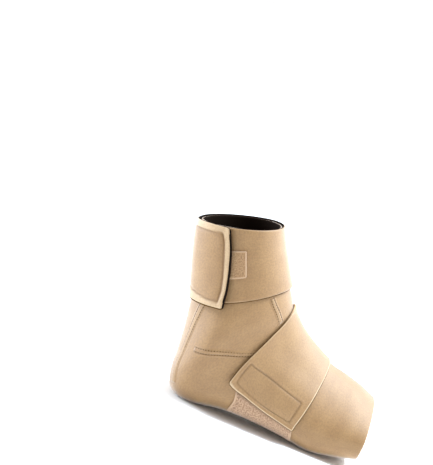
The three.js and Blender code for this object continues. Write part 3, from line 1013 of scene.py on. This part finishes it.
# %% Sew the panels and the seams
LINE_STEPS, SEAM_LINE_STEPS, SEAM_THREAD_LIFT = 80, 200, 0.02 * MM
ROOT_PANEL = np.array([(13.6, -119), (29.2, -119), (30.8, -109), (14.4, -109)])  # fan, around


def panel_lines(spot, corners, sunk):
    """The sides of a stitched panel on a strip, sunk a little into its outer face."""
    t = np.linspace(0, 1, LINE_STEPS)[:, None]
    sides = [(first + (last - first) * t).T for first, last in zip(corners, np.roll(corners, -1, axis=0))]
    return [(fan, around, spot.lift(around) + spot.thick - sunk) for fan, around in sides]


def seam_lines(stations, grooves):
    """The two rows of stitches of a seam, one in each groove."""
    fan, around, _ = route(stations, SEAM_LINE_STEPS)
    groove, lift = np.linspace(*grooves, SEAM_LINE_STEPS), np.full(SEAM_LINE_STEPS, SEAM_THREAD_LIFT)
    return [(*carry(fan, around, side * groove), lift) for side in (-1, 1)]


tab_stitches = stitch_rows("tab_stitches", panel_lines(band_spot, TAB_PANEL, sunk=0.5 * MM))
box_stitches = stitch_rows("strap_box_stitches", panel_lines(strap_spot, HOOK_PANEL, sunk=0.35 * MM))
root_stitches = stitch_rows("strap_root_stitches", panel_lines(strap_spot, ROOT_PANEL, sunk=0.0))
seams = ((BACK_SEAM, BACK_GROOVES), (SIDE_SEAM, SIDE_GROOVES), (FRONT_SEAM, FRONT_GROOVES))
seam_stitches = stitch_rows("seam_stitches", [line for seam in seams for line in seam_lines(*seam)])

# %% [markdown]
# ## Tie each piece to the body
# Each piece rides on the wrap's only body, and the solids that it stands for are hidden. A list of rows
# keeps each piece with its solids in one place. The rows also name a finish for each piece, which the
# loop does not use.

# %% Tie the pieces to the solids
BODY = "root"
RIDES = [  # piece, the solids it stands for, finish
    (boot, ["boot_shell"], "cloth"),
    (band, ["ankle_band"], "cloth"),
    (strap, ["instep_strap"], "cloth"),
    (patch, ["ankle_patch"], "tape"),
    (side_tape, ["side_tape"], "tape"),
    (tab_hook, ["ankle_hook"], "hook"),
    (end_hook, ["instep_hook"], "hook"),
    (back_seam, ["back_seam"], "seam"),
    (side_seam, ["side_seam"], "seam"),
    (front_seam, ["front_seam"], "seam"),
    (tab_stitches, [], "seam"),
    (box_stitches, [], "seam"),
    (root_stitches, [], "seam"),
    (seam_stitches, [], "seam"),
]
for piece, solids, finish in RIDES:
    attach(piece, BODY)
    if solids:
        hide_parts(*solids)

# %% [markdown]
# ## The studio
# The wrap stands on a white floor under a bright sky, so shadows are soft. The sky is dimmer on the
# camera's side, and three large cool lamps are added: one overhead, one from the toes' side and one from
# the heel's side. They brighten the rims, while the side that the camera sees keeps a quieter, warmer
# light. One strong lamp would be simpler, but it would leave a hard shadow on the floor. The camera looks
# at the outer side from a little above, and is rolled so that the toe end points downwards.

# %% Floor
FLOOR_HALF, FLOOR_MOTTLE = 40.0, 0.4  # metres
FLOOR, FLOOR_LOW, FLOOR_HIGH = (0.93, 0.93, 0.925), (0.925, 0.925, 0.92), (0.94, 0.94, 0.935)


def make_floor():
    """One square, pale and matt, with a faint mottle."""
    corner = FLOOR_HALF * np.array([[-1, -1, 0], [1, -1, 0], [1, 1, 0], [-1, 1, 0]], float)
    material, tree = shader("pale_floor", FLOOR, roughness=0.8)
    mottle = grain(tree, FLOOR_MOTTLE, where=in_space)
    finished(material, ramp(tree, mottle, 0.3, 0.7, FLOOR_LOW, FLOOR_HIGH))
    new_piece("floor", corner, [range(4)], [material])


make_floor()

# %% Sky and lamps
SKY_BRIGHT, SKY_DIM = 1.31, 0.54
OUTER_SIDE, DIM_FROM, DIM_TO = (0.0, -0.98, -0.2), -0.3, 0.6
COOL, AIM = (0.86, 1.0, 1.16), (0.04, 0.0, 0.08)
LAMPS = [  # name, place and size in metres, power in watts
    ("toe_side_lamp", (1.15, 0.35, 0.95), 0.9, 10.0),
    ("overhead_lamp", (0.65, 0.1, 1.4), 0.8, 53.0),
    ("heel_side_lamp", (-1.35, 0.4, 0.3), 0.8, 35.0),
]


def make_sky():
    """A white sky, bright all round but dimmer towards the outer side.
    Its strength follows the dot product of the direction looked at with the outer side's direction."""
    world = bpy.data.worlds.new("sky")
    world.use_nodes = True
    tree = world.node_tree
    where = node(tree, "ShaderNodeTexCoord").outputs["Generated"]
    towards = node(tree, "ShaderNodeVectorMath", {0: where, 1: OUTER_SIDE}, operation="DOT_PRODUCT")
    links = {
        "Value": towards.outputs["Value"],
        "From Min": DIM_FROM, "From Max": DIM_TO, "To Min": SKY_BRIGHT, "To Max": SKY_DIM,
    }
    strength = node(tree, "ShaderNodeMapRange", links, interpolation_type="SMOOTHSTEP").outputs["Result"]
    background = tree.nodes["Background"]
    background.inputs["Color"].default_value = (1, 1, 1, 1)
    tree.links.new(strength, background.inputs["Strength"])
    bpy.context.scene.world = world


def put(name, data, axes, place):
    """An object for a lamp or a camera: the columns of its matrix are its axes and its place."""
    made = bpy.data.objects.new(name, data)
    matrix = np.eye(4)
    matrix[:3] = np.stack([*axes, place], axis=1)
    made.matrix_world = Matrix(matrix.tolist())
    bpy.context.scene.collection.objects.link(made)
    return made


def make_lamp(name, place, size, power):
    """A square lamp at a place, turned to face the wrap."""
    light = bpy.data.lights.new(name, "AREA")
    light.size, light.energy, light.color = size, power, COOL
    z = unit(np.subtract(place, AIM))
    x = unit(np.cross([0, 0, 1], z))
    put(name, light, (x, np.cross(z, x), z), place)


make_sky()
for lamp in LAMPS:
    make_lamp(*lamp)
print("lamps:", len(LAMPS))

# %% Camera
PITCH, LOOK_DOWN = np.radians(22.0), np.radians(11.0)
DISTANCE, METRES_PER_PIXEL = 1.6, 0.88 * MM
IMAGE_WIDE, IMAGE_HIGH, SENSOR = 433, 465, 36.0
HEEL_POINT = np.array([0.0, -29.0, 0.4]) * MM  # a point under the heel, and its pixel
HEEL_PIXEL = np.array([191.3, 405.8])


def make_camera():
    """Its axes follow from the pitch of the sole in the picture and the look down; its place puts the
    point under the heel on its pixel at the given distance."""
    sin_p, cos_p, sin_e, cos_e = np.sin(PITCH), np.cos(PITCH), np.sin(LOOK_DOWN), np.cos(LOOK_DOWN)
    right = np.array([cos_p, 0, sin_p])
    up = np.array([-sin_p * cos_e, sin_e, cos_p * cos_e])
    forward = np.array([sin_p * sin_e, cos_e, -cos_p * sin_e])
    x, y = (HEEL_PIXEL - [IMAGE_WIDE / 2, IMAGE_HIGH / 2]) * METRES_PER_PIXEL
    place = HEEL_POINT - x * right + y * up - DISTANCE * forward
    data = bpy.data.cameras.new("camera")
    data.sensor_width = SENSOR
    data.lens = DISTANCE / METRES_PER_PIXEL * SENSOR / max(IMAGE_WIDE, IMAGE_HIGH)
    bpy.context.scene.camera = put("camera", data, (right, up, -forward), place)
    print("camera lens in mm:", round(data.lens, 1), "at", place.round(3))


make_camera()
bpy.context.scene.view_settings.view_transform = "Standard"
